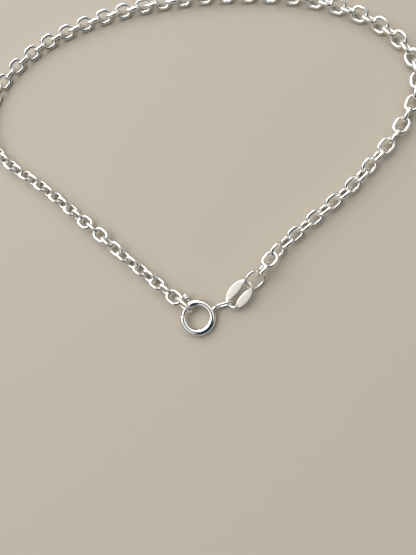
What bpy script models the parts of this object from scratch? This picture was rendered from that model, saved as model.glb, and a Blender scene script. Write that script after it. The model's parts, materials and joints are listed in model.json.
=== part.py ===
"""A silver cable chain anklet, lying closed on a flat surface.

The clasp is a spring ring with a thumb trigger and an oval loop soldered to its outside.
From that loop a pressed end tag and a jump ring lead to one end of the chain. A longer catch
link at the other end hangs on the clasp's bolt. Everything is in metres, +Z up, and rests on
z = 0.
"""
import math

import bmesh
import bpy
from mathutils import Matrix, Vector

MM = 0.001
UP = Vector((0.0, 0.0, 1.0))

# Cable chain: oval links of round wire, each soldered to the next
LINK_LENGTH = 3.6 * MM
LINK_WIDTH = 2.9 * MM
LINK_WIRE = 0.7 * MM
LINK_SEGMENTS = 10
WIRE_SIDES = 5
SOLDER_BITE = 0.06 * MM
RUNNING_GAP = 0.2 * MM
SETTLE_PASSES = 4

# Catch link at the chain's left end
CATCH_LENGTH = 4.45 * MM
CATCH_WIDTH = 2.9 * MM
CATCH_WIRE = 0.65 * MM
CATCH_ANGLE = math.radians(140.0)
CATCH_ROLL = math.radians(115.0)
CATCH_SEGMENTS = 14
CATCH_SIDES = 6
CATCH_SLACK = 0.45 * MM
FIRST_SLACK = 0.35 * MM

# Spring ring clasp: a hollow tube bent round, open where the bolt closes it
CLASP_DIAMETER = 7.0 * MM
CLASP_TUBE = 1.45 * MM
CLASP_BORE = 0.95 * MM
CLASP_MOUTH = (math.radians(125.0), math.radians(177.0))
CLASP_TILT = math.radians(4.6)
CLASP_STEPS = 22
TUBE_SIDES = 10
BOLT_WIRE = 0.66 * MM
BOLT_SIDES = 8
BOLT_TUCK = math.radians(8.0)
BOLT_TAIL = math.radians(45.0)
BOLT_STEPS = 10
TRIGGER_ANGLE = math.radians(119.0)
TRIGGER_TRAVEL = math.radians(60.0)
TRIGGER_STEM = 0.45 * MM
TRIGGER_HEAD = 1.25 * MM
TRIGGER_HEAD_HEIGHT = 1.05 * MM
TRIGGER_SIDES = 12
TRIGGER_DIMPLE = 0.12 * MM
TRIGGER_RIM = 0.15 * MM
TRIGGER_REACH = 5.0 * MM
SLOT_GAP = 0.1 * MM
SLOT_PAST_MOUTH = math.radians(4.0)
SLOT_STEPS = 8

# Oval loop soldered on edge to the clasp's outside, which the end tag hangs on
LOOP_LENGTH = 3.8 * MM
LOOP_WIDTH = 2.5 * MM
LOOP_WIRE = 0.5 * MM
LOOP_GAP = 0.22 * MM
LOOP_ANGLE = math.radians(28.0)
LOOP_HEADING = math.radians(16.0)
LOOP_ROLL = math.radians(81.0)
LOOP_SEGMENTS = 14
LOOP_SIDES = 6
NECK_ROOT = 0.7 * MM
NECK_TIP = 0.5 * MM
NECK_SIDES = 8

# End tag: an oval of wire whose long sides are pressed into flat leaves
TAG_LENGTH = 6.25 * MM
TAG_WIDTH = 4.25 * MM
TAG_SLIT = 0.75 * MM
TAG_WIRE = 0.66 * MM
TAG_LEAF_THICKNESS = 0.36 * MM
TAG_HEIGHT = 1.5 * MM
TAG_HEADING = math.radians(47.0)
TAG_SLOPE = math.radians(10.0)
TAG_SIDES = 8

# Jump ring from the tag to the chain
JUMP_DIAMETER = 4.5 * MM
JUMP_WIRE = 0.55 * MM
JUMP_HEADING = math.radians(40.0)
JUMP_LEAN = math.radians(53.0)
JUMP_ASIDE = -0.15 * MM
JUMP_HOOK = math.radians(20.0)
HOOK_HEADING = math.radians(52.0)
HOOK_SLACK = 0.42 * MM
JUMP_STEPS = 18
JUMP_SIDES = 6

# Where the clasp's centre lies from the middle of the whole anklet's box
CLASP_AT = Vector((3.25, -31.11, 0.0)) * MM

# The chain's route over the surface, from near the catch link round the back to near the
# jump ring, as places from the clasp's centre in millimetres
CHAIN_ROUTE = [
    (-9.75, 7.95), (-14.95, 12.05), (-20.0, 16.55), (-24.95, 20.5), (-30.05, 24.7),
    (-35.4, 28.7), (-40.8, 32.3), (-45.2, 36.6), (-47.0, 42.2), (-45.6, 48.8),
    (-40.4, 55.0), (-32.0, 60.0), (-20.0, 63.4), (-6.5, 64.6), (7.5, 63.8),
    (20.6, 61.0), (31.6, 55.6), (38.6, 48.6), (40.2, 41.0), (36.95, 33.5),
    (32.75, 28.35), (28.5, 23.55), (23.55, 19.35), (18.4, 15.15), (15.2, 12.25),
]

# Roll of every second link about the chain, from flat, with its left side up, and how far
# the links are lifted above where they would lie, by their number from an end of the chain
LEFT_ROLLS = [  # link, roll in degrees, lift in millimetres
    (0, -75.0, 0.0), (2, -50.0, 0.0), (3, -45.0, 0.0), (5, -45.0, 0.0), (7, -25.0, 0.0),
    (9, 0.0, 0.0), (11, 20.0, 0.0), (13, 45.0, 0.0), (48, 45.0, 0.0),
]
RIGHT_ROLLS = [  # link, roll in degrees, lift in millimetres
    (0, -112.0, 1.0), (1, -80.0, 0.65), (2, -45.0, 0.3), (4, -34.0, 0.0), (12, -34.0, 0.0),
    (14, -18.0, 0.0), (16, 0.0, 0.0), (24, 45.0, 0.0), (48, 45.0, 0.0),
]

# The tag's wire round a quarter of its oval, from its end to the leaf's middle
TAG_SECTIONS = [  # along, across, turn in degrees, share pressed wide, share pressed thin
    (1.0, 0.0, 0.0, 0.0, 0.0),
    (0.95, 0.5, 23.0, 0.0, 0.0),
    (0.81, 0.86, 53.0, 0.05, 0.4),
    (0.6, 0.93, 75.5, 0.48, 1.0),
    (0.32, 0.98, 84.0, 0.88, 1.0),
    (0.0, 1.0, 90.0, 1.0, 1.0),
]


def heading(angle):
    """Level unit vector at an angle from +X."""
    return Vector((math.cos(angle), math.sin(angle), 0.0))


def clasp_bend():
    """Radius of the circle that the middle of the clasp's tube follows."""
    return (CLASP_DIAMETER - CLASP_TUBE) / 2


def jump_bend():
    """Radius of the circle that the middle of the jump ring's wire follows."""
    return (JUMP_DIAMETER - JUMP_WIRE) / 2


def wire_radius(wire, sides):
    """Corner radius of a wire with that many sides and a round wire's cross-section."""
    return wire / 2 * math.sqrt(math.tau / (sides * math.sin(math.tau / sides)))


def make_material(name, colour, roughness):
    material = bpy.data.materials.new(name)
    material.use_nodes = True
    shader = material.node_tree.nodes["Principled BSDF"]
    shader.inputs["Base Color"].default_value = (*colour, 1.0)
    shader.inputs["Metallic"].default_value = 1.0
    shader.inputs["Roughness"].default_value = roughness
    return material


def make_object(name, mesh, collection, material=None):
    item = bpy.data.objects.new(name, mesh)
    collection.objects.link(item)
    if material:
        mesh.materials.clear()
        mesh.materials.append(material)
    return item


def take_primitive():
    """Return the mesh of the primitive that was just added, without its object."""
    item = bpy.context.object
    mesh = item.data
    bpy.data.objects.remove(item)
    return mesh


def oval_mesh(half_length, half_width, radius, segments, sides):
    """An oval of wire in the XY plane, long along X: a torus whose halves are drawn apart.

    half_length and half_width run to the middle of the wire. segments is 2 more than a
    multiple of 4, so that one segment on each long side crosses the middle.
    """
    flat_side = math.cos(math.pi / segments)
    bend = half_width / flat_side
    bpy.ops.mesh.primitive_torus_add(
        major_segments=segments, minor_segments=sides, major_radius=bend, minor_radius=radius
    )
    mesh = take_primitive()
    for vertex in mesh.vertices:
        vertex.co.x += math.copysign(half_length - bend, vertex.co.x)
    return mesh


def smooth_route(first, last, steps=24):
    """Points along a Catmull-Rom curve from the first place, by the route's own, to the last."""
    route = [CLASP_AT + Vector((x, y, 0.0)) * MM for x, y in CHAIN_ROUTE]
    places = [first, *route, last]
    places.insert(0, 2 * places[0] - places[1])
    places.append(2 * places[-1] - places[-2])
    curve = []
    for before, start, end, after in zip(places, places[1:], places[2:], places[3:]):
        for step in range(steps):
            t = step / steps
            curve.append(
                0.5 * (2 * start + (end - before) * t
                       + (2 * before - 5 * start + 4 * end - after) * t ** 2
                       + (3 * start - before - 3 * end + after) * t ** 3)
            )
    curve.append(places[-2])
    return curve


def walk(curve, distances):
    """Places at these distances along the curve, which grow from one to the next."""
    places = []
    index = 0
    passed = 0.0
    for distance in distances:
        while index < len(curve) - 2 and passed + (curve[index + 1] - curve[index]).length < distance:
            passed += (curve[index + 1] - curve[index]).length
            index += 1
        step = curve[index + 1] - curve[index]
        places.append(curve[index] + step.normalized() * (distance - passed))
    return places


def read_rolls(table, number):
    """Roll and lift at a link's number, straight between the table's rows."""
    for (low, low_roll, low_lift), (high, high_roll, high_lift) in zip(table, table[1:]):
        if number <= high:
            share = (number - low) / (high - low)
            roll = low_roll + share * (high_roll - low_roll)
            return math.radians(roll), (low_lift + share * (high_lift - low_lift)) * MM
    return math.radians(table[-1][1]), table[-1][2] * MM


def rest_height(mesh, roll):
    """Height of a link's centre when it lies at this roll with its lowest corner at z = 0."""
    return max(-v.co.y * math.sin(roll) - v.co.z * math.cos(roll) for v in mesh.vertices)


def place_link(centre, forward, roll):
    """Matrix that lays a link's long axis along forward, its width rolled from level."""
    forward = forward.normalized()
    level = UP.cross(forward).normalized()
    above = forward.cross(level)
    side = level * math.cos(roll) + above * math.sin(roll)
    turn = Matrix((forward, side, forward.cross(side))).transposed()
    return Matrix.Translation(centre) @ turn.to_4x4()


def lowest_corner(mesh, matrix):
    return min((matrix @ vertex.co).z for vertex in mesh.vertices)


def chain_frames(link, first, last):
    """Matrix of every link of the chain, from the catch link's end to the jump ring's."""
    curve = smooth_route(first, last)
    length = sum((b - a).length for a, b in zip(curve, curve[1:]))
    pitch = LINK_LENGTH - 2 * LINK_WIRE
    count = 2 * round((length / pitch + 1) / 2)
    step = length / (count - 1)
    middle = count // 2
    slack = SOLDER_BITE + 1.5 * RUNNING_GAP
    distances = [step * i if i < middle else step * i - slack * (count - 1 - i) / (count - middle)
                 for i in range(count)]
    places = walk(curve, distances)
    rolls = []
    for i in range(count):
        if i < middle:
            roll, lift = read_rolls(LEFT_ROLLS, i)
        else:
            roll, lift = read_rolls(RIGHT_ROLLS, count - 1 - i)
        quarter = math.pi / 2
        places[i].z = lift + max(rest_height(link, roll), rest_height(link, roll - quarter))
        rolls.append(roll if i % 2 else roll - quarter)
    for _ in range(SETTLE_PASSES):
        frames = []
        for i, place in enumerate(places):
            before = places[max(i - 1, 0)]
            after = places[min(i + 1, count - 1)]
            frames.append(place_link(place, after - before, rolls[i]))
        for place, frame in zip(places, frames):
            place.z += max(0.0, -lowest_corner(link, frame))
    return frames, middle


def join_links(name, link, frames, collection, material):
    """One soldered chain: every second link in one mesh, united with the links between."""
    halves = []
    for first in (0, 1):
        bm = bmesh.new()
        for frame in frames[first::2]:
            start = len(bm.verts)
            bm.from_mesh(link)
            bm.verts.ensure_lookup_table()
            bmesh.ops.transform(bm, matrix=frame, verts=bm.verts[start:])
        mesh = bpy.data.meshes.new(name)
        bm.to_mesh(mesh)
        bm.free()
        halves.append(mesh)
    chain = make_object(name, halves[0], collection, material)
    between = make_cutter(name + "_between", halves[1])
    unite(chain, between)
    return chain


def make_cutter(name, mesh):
    cutter = make_object(name, mesh, cutters)
    cutter.hide_render = True
    cutter.display_type = "WIRE"
    return cutter


def unite(item, other):
    boolean = item.modifiers.new("solder", "BOOLEAN")
    boolean.operation = "UNION"
    boolean.object = other


def cut(item, cutter):
    boolean = item.modifiers.new("cut", "BOOLEAN")
    boolean.operation = "DIFFERENCE"
    boolean.object = cutter


def clasp_frame():
    """The clasp's centre and tilt: its mouth is raised so that the catch link passes under."""
    height = CLASP_TUBE / 2 + clasp_bend() * math.sin(CLASP_TILT)
    tilt = Matrix.Rotation(CLASP_TILT, 4, heading(CATCH_ANGLE).cross(UP))
    return Matrix.Translation(CLASP_AT + height * UP) @ tilt


def spin_profile(profile, start, sweep, steps):
    """Solid made by turning a closed profile, given by its faces at X, about Z."""
    turn = Matrix.Rotation(start, 4, "Z")
    bmesh.ops.transform(profile, matrix=turn, verts=profile.verts)
    bmesh.ops.spin(
        profile, geom=profile.verts[:] + profile.edges[:] + profile.faces[:], axis=UP,
        cent=(0.0, 0.0, 0.0), angle=sweep, steps=steps, use_duplicate=False,
    )
    bmesh.ops.recalc_face_normals(profile, faces=profile.faces)
    mesh = bpy.data.meshes.new("turned")
    profile.to_mesh(mesh)
    profile.free()
    return mesh


def wire_ring(radius, sides, centre):
    """Circle of vertices and edges standing at the centre, square to the Y direction."""
    bm = bmesh.new()
    bmesh.ops.create_circle(bm, segments=sides, radius=radius)
    upright = Matrix.Translation(centre) @ Matrix.Rotation(math.pi / 2, 4, "X")
    bmesh.ops.transform(bm, matrix=upright, verts=bm.verts)
    return bm


def make_clasp_ring(collection, material, frame):
    bend = clasp_bend()
    tube = wire_ring(CLASP_TUBE / 2, TUBE_SIDES, (bend, 0.0, 0.0))
    outer = tube.edges[:]
    bore = bmesh.ops.create_circle(tube, segments=TUBE_SIDES, radius=CLASP_BORE / 2)["verts"]
    upright = Matrix.Translation((bend, 0.0, 0.0)) @ Matrix.Rotation(math.pi / 2, 4, "X")
    bmesh.ops.transform(tube, matrix=upright, verts=bore)
    inner = [edge for edge in tube.edges if edge not in outer]
    bmesh.ops.bridge_loops(tube, edges=outer + inner)
    mouth_start, mouth_end = CLASP_MOUTH
    sweep = math.tau - (mouth_end - mouth_start)
    ring = make_object("clasp_ring", spin_profile(tube, mouth_end, sweep, CLASP_STEPS),
                       collection, material)
    ring.matrix_world = frame

    # Slot that the trigger's stem slides in, open at the mouth
    half_slot = TRIGGER_STEM / 2 + SLOT_GAP
    slot = bmesh.new()
    bmesh.ops.create_grid(slot, x_segments=1, y_segments=1, size=0.5)
    slot_depth = CLASP_TUBE
    stand = Matrix.Translation((bend + slot_depth / 2, 0.0, 0.0)) @ Matrix.Rotation(
        math.pi / 2, 4, "X") @ Matrix.Diagonal((slot_depth, 2 * half_slot, 1.0, 1.0))
    bmesh.ops.transform(slot, matrix=stand, verts=slot.verts)
    stem_reach = (TRIGGER_STEM / 2 + SLOT_GAP) / bend
    slot_start = TRIGGER_ANGLE - TRIGGER_TRAVEL - stem_reach
    slot_sweep = mouth_start + SLOT_PAST_MOUTH - slot_start
    slot_mesh = spin_profile(slot, slot_start, slot_sweep, SLOT_STEPS)
    slot_cutter = make_cutter("clasp_slot", slot_mesh)
    slot_cutter.matrix_world = frame
    cut(ring, slot_cutter)

    # Tapered solder neck from inside the tube's wall, and the loop at its tip
    neck_start = bend + (CLASP_TUBE + CLASP_BORE) / 4
    neck_length = loop_reach() - neck_start
    neck_mesh = bmesh.new()
    bmesh.ops.create_cone(neck_mesh, cap_ends=True, segments=NECK_SIDES, radius1=NECK_ROOT / 2,
                          radius2=NECK_TIP / 2, depth=neck_length)
    neck = make_cutter("clasp_neck", bpy.data.meshes.new("clasp_neck"))
    neck_mesh.to_mesh(neck.data)
    neck_mesh.free()
    neck.matrix_world = (frame @ Matrix.Rotation(LOOP_ANGLE, 4, "Z")
                         @ Matrix.Translation((neck_start + neck_length / 2, 0.0, 0.0))
                         @ Matrix.Rotation(math.pi / 2, 4, "Y"))
    loop = make_cutter("clasp_loop", loop_mesh())
    loop.matrix_world = loop_place()
    unite(ring, neck)
    unite(ring, loop)
    return ring


def make_clasp_bolt(collection, material, frame):
    """Curved wire that closes the mouth, with the trigger soldered to it."""
    bend = clasp_bend()
    wire = wire_ring(wire_radius(BOLT_WIRE, BOLT_SIDES), BOLT_SIDES, (bend, 0.0, 0.0))
    bmesh.ops.contextual_create(wire, geom=wire.edges[:])
    start = TRIGGER_ANGLE - BOLT_TAIL
    sweep = CLASP_MOUTH[1] + BOLT_TUCK - start
    bolt = make_object("clasp_bolt", spin_profile(wire, start, sweep, BOLT_STEPS),
                       collection, material)
    bolt.matrix_world = frame

    trigger = bmesh.new()
    head = bmesh.ops.create_cone(
        trigger, cap_ends=True, segments=TRIGGER_SIDES, radius1=TRIGGER_HEAD / 2,
        radius2=TRIGGER_HEAD / 2, depth=TRIGGER_HEAD_HEIGHT)["verts"]
    bmesh.ops.translate(trigger, verts=head,
                        vec=(0.0, 0.0, TRIGGER_REACH - TRIGGER_HEAD_HEIGHT / 2))
    crown = max(trigger.faces, key=lambda face: face.calc_center_median().z)
    bmesh.ops.inset_region(trigger, faces=[crown], thickness=TRIGGER_RIM, depth=0.0)
    bmesh.ops.translate(trigger, verts=crown.verts, vec=(0.0, 0.0, -TRIGGER_DIMPLE))
    head_mesh = bpy.data.meshes.new("trigger_head")
    trigger.to_mesh(head_mesh)
    trigger.free()
    radial = frame @ Matrix.Rotation(TRIGGER_ANGLE, 4, "Z") @ Matrix.Rotation(math.pi / 2, 4, "Y")
    head_cutter = make_cutter("trigger_head", head_mesh)
    head_cutter.matrix_world = radial

    stem = bmesh.new()
    stem_length = TRIGGER_REACH - TRIGGER_HEAD_HEIGHT / 2 - bend
    bmesh.ops.create_cone(stem, cap_ends=True, segments=BOLT_SIDES, radius1=TRIGGER_STEM / 2,
                          radius2=TRIGGER_STEM / 2, depth=stem_length)
    bmesh.ops.translate(stem, verts=stem.verts, vec=(0.0, 0.0, bend + stem_length / 2))
    stem_mesh = bpy.data.meshes.new("trigger_stem")
    stem.to_mesh(stem_mesh)
    stem.free()
    stem_cutter = make_cutter("trigger_stem", stem_mesh)
    stem_cutter.matrix_world = radial
    unite(bolt, stem_cutter)
    unite(bolt, head_cutter)
    return bolt


def catch_reach():
    """Distance of the catch link's middle from the clasp's."""
    return clasp_bend() - BOLT_WIRE / 2 - CATCH_SLACK - CATCH_WIRE + CATCH_LENGTH / 2


def make_catch_link(collection, material):
    """End link round the bolt that leans on edge, its far end over the chain's first link."""
    radius = wire_radius(CATCH_WIRE, CATCH_SIDES)
    mesh = oval_mesh(CATCH_LENGTH / 2 - radius, CATCH_WIDTH / 2 - radius, radius,
                     CATCH_SEGMENTS, CATCH_SIDES)
    centre = CLASP_AT + heading(CATCH_ANGLE) * catch_reach()
    centre.z = rest_height(mesh, CATCH_ROLL)
    link = make_object("catch_link", mesh, collection, material)
    link.matrix_world = place_link(centre, heading(CATCH_ANGLE), CATCH_ROLL)
    return link


def first_link_place():
    """Middle of the chain's first link, drawn out against the catch link's far end."""
    inside = catch_reach() + CATCH_LENGTH / 2 - CATCH_WIRE
    reach = inside - FIRST_SLACK - LINK_WIRE + LINK_LENGTH / 2
    return CLASP_AT + heading(CATCH_ANGLE) * reach


def tag_hang():
    """Distance from the tag's middle to the loop's wire drawn up against its end."""
    return TAG_LENGTH / 2 - TAG_WIRE - LOOP_WIRE / 2 - RUNNING_GAP


def loop_reach():
    """Distance of the loop's near wire from the clasp's middle."""
    return CLASP_DIAMETER / 2 + LOOP_GAP + LOOP_WIRE / 2


def loop_mesh():
    radius = wire_radius(LOOP_WIRE, LOOP_SIDES)
    return oval_mesh(LOOP_LENGTH / 2 - radius, LOOP_WIDTH / 2 - radius, radius,
                     LOOP_SEGMENTS, LOOP_SIDES)


def loop_place():
    """The loop stands nearly on edge on the surface, its near wire at the neck's tip."""
    near = CLASP_AT + heading(LOOP_ANGLE) * loop_reach()
    middle = near + heading(LOOP_HEADING) * (LOOP_LENGTH - LOOP_WIRE) / 2
    middle.z = rest_height(loop_mesh(), LOOP_ROLL)
    return place_link(middle, heading(LOOP_HEADING), LOOP_ROLL)


def tag_hook():
    """The place on the loop's far wire where the tag's end hangs."""
    half_length = (LOOP_LENGTH - LOOP_WIRE) / 2
    half_width = (LOOP_WIDTH - LOOP_WIRE) / 2
    place = loop_place()
    height = TAG_HEIGHT - tag_hang() * math.sin(TAG_SLOPE)
    up_side = (height - place.translation.z) / math.sin(LOOP_ROLL)
    along = half_length - half_width + math.sqrt(half_width ** 2 - up_side ** 2)
    return place @ Vector((along, up_side, 0.0))


def tag_frame():
    """The tag's middle and slope, with its end hung on the loop."""
    slope = Matrix.Rotation(TAG_HEADING, 4, "Z") @ Matrix.Rotation(-TAG_SLOPE, 4, "Y")
    return Matrix.Translation(tag_hook()) @ slope @ Matrix.Translation((tag_hang(), 0.0, 0.0))


def tag_section(step):
    """Middle, outward direction, half-width and half-thickness of the tag's wire at a step."""
    quarter = len(TAG_SECTIONS) - 1
    turn, rest = divmod(step, quarter)
    row = rest if turn % 2 == 0 else quarter - rest
    along, across, angle, wide, thin = TAG_SECTIONS[row]
    leaf = (TAG_WIDTH - TAG_SLIT) / 4
    end_sign = 1 if turn in (0, 3) else -1
    side_sign = 1 if turn in (0, 1) else -1
    middle = Vector((end_sign * along * (TAG_LENGTH - TAG_WIRE) / 2,
                     side_sign * across * (TAG_WIDTH + TAG_SLIT) / 4, 0.0))
    out = heading(math.radians(angle))
    out = Vector((end_sign * out.x, side_sign * out.y, 0.0))
    half_width = TAG_WIRE / 2 + wide * (leaf - TAG_WIRE / 2)
    half_thickness = TAG_WIRE / 2 + thin * (TAG_LEAF_THICKNESS - TAG_WIRE) / 2
    return middle, out, half_width, half_thickness, thin


def make_end_tag(collection, material, place):
    """A torus whose sections are moved out to an oval and pressed wide and thin."""
    steps = 4 * (len(TAG_SECTIONS) - 1)
    thick = 0.25
    bpy.ops.mesh.primitive_torus_add(major_segments=steps, minor_segments=TAG_SIDES,
                                     major_radius=1.0, minor_radius=thick)
    mesh = take_primitive()
    round_corner = math.sqrt(0.5)
    pressed_edge = 0.88
    for vertex in mesh.vertices:
        x, y, z = vertex.co
        step = round(math.atan2(y, x) / math.tau * steps) % steps
        middle, out, half_width, half_thickness, thin = tag_section(step)
        across = (math.hypot(x, y) - 1.0) / thick
        above = z / thick
        if min(abs(across), abs(above)) > 0.1:
            across *= 1 + thin * (pressed_edge / round_corner - 1)
            above *= 1 + thin * (1 / round_corner - 1)
        vertex.co = middle + out * across * half_width + UP * above * half_thickness
    tag = make_object("end_tag", mesh, collection, material)
    tag.matrix_world = place
    return tag


def jump_place(radius, tag_place):
    """The jump ring's middle: it lies on the surface and passes through the tag's far end."""
    bend = jump_bend()
    hang = TAG_LENGTH / 2 - TAG_WIRE - JUMP_WIRE / 2 - RUNNING_GAP
    through = tag_place @ Vector((hang, JUMP_ASIDE, 0.0))
    forward = heading(JUMP_HEADING)
    side = UP.cross(forward) * math.cos(JUMP_LEAN) + UP * math.sin(JUMP_LEAN)
    height = bend * math.sin(JUMP_LEAN) + radius
    up_slope = (through.z - height) / math.sin(JUMP_LEAN)
    back = math.sqrt(bend ** 2 - up_slope ** 2)
    return through + forward * back - side * up_slope


def make_jump_ring(collection, material, tag_place):
    """Round ring that leans on the tag: its left side over the leaf, its right side under."""
    radius = wire_radius(JUMP_WIRE, JUMP_SIDES)
    bpy.ops.mesh.primitive_torus_add(major_segments=JUMP_STEPS, minor_segments=JUMP_SIDES,
                                     major_radius=jump_bend(), minor_radius=radius)
    ring = make_object("jump_ring", take_primitive(), collection, material)
    ring.matrix_world = place_link(jump_place(radius, tag_place), heading(JUMP_HEADING), JUMP_LEAN)
    return ring


def last_link_place(tag_place):
    """Middle of the chain's last link, hooked on the jump ring's far side with some slack."""
    middle = jump_place(JUMP_WIRE / 2, tag_place)
    forward = heading(JUMP_HEADING)
    left = UP.cross(forward) * math.cos(JUMP_LEAN)
    hook = middle + jump_bend() * (forward * math.cos(JUMP_HOOK) + left * math.sin(JUMP_HOOK))
    place = hook + heading(HOOK_HEADING) * HOOK_SLACK
    return Vector((place.x, place.y, 0.0))


def make_chain(collection, material, tag_place):
    radius = wire_radius(LINK_WIRE, WIRE_SIDES)
    inside = radius * math.cos(math.pi / WIRE_SIDES)
    pitch = LINK_LENGTH - 2 * LINK_WIRE
    half_length = (pitch - SOLDER_BITE) / 2 + inside
    half_width = LINK_WIDTH / 2 - radius
    link = oval_mesh(half_length, half_width, radius, LINK_SEGMENTS, WIRE_SIDES)
    frames, middle = chain_frames(link, first_link_place(), last_link_place(tag_place))
    join_links("chain_left", link, frames[:middle], collection, material)
    join_links("chain_right", link, frames[middle:], collection, material)


def smooth_round_pieces(collection):
    for item in collection.objects:
        item.data.shade_smooth()
        item.data.set_sharp_from_angle(angle=math.radians(50.0))


for old in list(bpy.data.objects):
    bpy.data.objects.remove(old)
anklet = bpy.data.collections.new("chain_anklet")
cutters = bpy.data.collections.new("cutters")
bpy.context.scene.collection.children.link(anklet)
bpy.context.scene.collection.children.link(cutters)

silver = make_material("polished_silver", (0.92, 0.91, 0.89), 0.12)
satin = make_material("satin_silver", (0.86, 0.85, 0.82), 0.32)
clasp_place = clasp_frame()
tag_place = tag_frame()

make_chain(anklet, silver, tag_place)
make_catch_link(anklet, silver)
make_clasp_ring(anklet, silver, clasp_place)
make_clasp_bolt(anklet, silver, clasp_place)
make_end_tag(anklet, satin, tag_place)
make_jump_ring(anklet, silver, tag_place)
smooth_round_pieces(anklet)
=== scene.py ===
"""Looks of a silver cable chain anklet that lies closed on a pale floor.

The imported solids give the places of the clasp, catch link, tag and jump ring. The chain's route
and the main sizes repeat the source's. Each piece is made again in smooth round wire, with its
solder seams, pressed leaves and silver finish. Everything is in metres, +Z up.
"""
import json
import math

import bmesh
import bpy
from bpy.props import FloatProperty, FloatVectorProperty, IntProperty, PointerProperty
from bpy.types import Operator, Panel, PropertyGroup
from mathutils import Matrix, Vector


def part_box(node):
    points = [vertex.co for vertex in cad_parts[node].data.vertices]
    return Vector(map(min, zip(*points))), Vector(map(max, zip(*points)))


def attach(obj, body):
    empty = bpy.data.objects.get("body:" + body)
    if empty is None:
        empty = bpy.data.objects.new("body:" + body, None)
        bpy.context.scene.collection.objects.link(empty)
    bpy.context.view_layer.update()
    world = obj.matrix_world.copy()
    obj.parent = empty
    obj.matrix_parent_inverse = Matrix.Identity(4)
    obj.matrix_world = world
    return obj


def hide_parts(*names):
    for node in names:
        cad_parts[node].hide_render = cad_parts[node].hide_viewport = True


bl_info = {
    "name": "Silver chain anklet",
    "version": (1, 0, 0),
    "blender": (4, 5, 0),
    "location": "3D Viewport > Sidebar > Anklet",
    "description": "Makes a silver cable chain anklet with a spring ring clasp",
    "category": "Add Mesh",
}

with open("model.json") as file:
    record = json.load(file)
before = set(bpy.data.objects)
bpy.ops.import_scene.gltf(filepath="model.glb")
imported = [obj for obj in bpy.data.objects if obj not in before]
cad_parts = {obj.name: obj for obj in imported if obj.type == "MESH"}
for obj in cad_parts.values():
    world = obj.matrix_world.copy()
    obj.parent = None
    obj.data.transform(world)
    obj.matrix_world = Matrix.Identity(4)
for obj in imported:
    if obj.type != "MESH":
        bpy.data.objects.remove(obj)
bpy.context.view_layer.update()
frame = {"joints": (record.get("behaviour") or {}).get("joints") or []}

MM = 0.001
UP = Vector((0.0, 0.0, 1.0))
CLASP_JOINT = next(joint for joint in frame["joints"] if joint["name"] == "clasp_open")
MERGE_DISTANCE = 0.0005 * MM

# Steps along each piece of wire and sides round it
CATCH_STEPS = 40
CATCH_SIDES = 18
TUBE_STEPS = 72
TUBE_SIDES = 32
SLOT_STEPS = 24
LOOP_STEPS = 40
LOOP_SIDES = 16
BOLT_STEPS = 40
BOLT_SIDES = 24
TRIGGER_STEPS = 32
TAG_STEPS = 160
TAG_SIDES = 32
JUMP_STEPS = 72
JUMP_SIDES = 16

# Half-sizes of the lump of solder between the clasp's tube and its loop, in millimetres
SOLDER_LUMP = (0.56, 0.46, 0.42)

# The tag is pressed out of a ring of radius 1, whose wire has this radius
PLAIN_RING_WIRE = 0.25
# How much squarer than round a fully pressed leaf's section gets
LEAF_FLATTENING = 2.2
# Where the leaf's frost ends and how wide it fades, as shares of the leaf's half-width
FROST_EDGE = 0.93
FROST_FADE = 0.12

# Sizes of the cloudy patches on the silver, in patches to a metre
HAZE_SCALE = 450.0
TARNISH_SCALE = 700.0

# Dark parts of the studio: direction, and the angles from it where each fades in or out
DARK_OVERHEAD = ((0.12, -0.26, 0.95), 26.0, 17.0)
DARK_FRONT = ((0.349, -0.656, 0.669), 40.0, 26.0)
DARK_LOW = ((0.0, 0.0, 1.0), 56.0, 72.0)
KEY_LIGHT_SIZE = 0.9
KEY_LIGHT_PLACE = (-0.35, 0.3, 0.42)

# The chain's route over the surface, from near the catch link round the back to near the
# jump ring, as places from the clasp's centre in millimetres
CHAIN_ROUTE = [
    (-9.75, 7.95), (-14.95, 12.05), (-20.0, 16.55), (-24.95, 20.5), (-30.05, 24.7),
    (-35.4, 28.7), (-40.8, 32.3), (-45.2, 36.6), (-47.0, 42.2), (-45.6, 48.8),
    (-40.4, 55.0), (-32.0, 60.0), (-20.0, 63.4), (-6.5, 64.6), (7.5, 63.8),
    (20.6, 61.0), (31.6, 55.6), (38.6, 48.6), (40.2, 41.0), (36.95, 33.5),
    (32.75, 28.35), (28.5, 23.55), (23.55, 19.35), (18.4, 15.15), (15.2, 12.25),
]

# Roll of every second link about the chain, from flat, with its left side up, and how far
# the links are lifted above where they would lie, by their number from an end of the chain
LEFT_ROLLS = [  # link, roll in degrees, lift in millimetres
    (0, -75.0, 0.0), (2, -50.0, 0.0), (3, -45.0, 0.0), (5, -45.0, 0.0), (7, -25.0, 0.0),
    (9, 0.0, 0.0), (11, 20.0, 0.0), (13, 45.0, 0.0), (48, 45.0, 0.0),
]
RIGHT_ROLLS = [  # link, roll in degrees, lift in millimetres
    (0, -112.0, 1.0), (1, -80.0, 0.65), (2, -45.0, 0.3), (4, -34.0, 0.0), (12, -34.0, 0.0),
    (14, -18.0, 0.0), (16, 0.0, 0.0), (24, 45.0, 0.0), (48, 45.0, 0.0),
]

# The tag's wire round a quarter of its oval, from its end to the leaf's middle
TAG_SECTIONS = [  # along, across, turn in degrees, share pressed wide, share pressed thin
    (1.0, 0.0, 0.0, 0.0, 0.0),
    (0.95, 0.5, 23.0, 0.0, 0.0),
    (0.81, 0.86, 53.0, 0.05, 0.4),
    (0.6, 0.93, 75.5, 0.48, 1.0),
    (0.32, 0.98, 84.0, 0.88, 1.0),
    (0.0, 1.0, 90.0, 1.0, 1.0),
]

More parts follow.
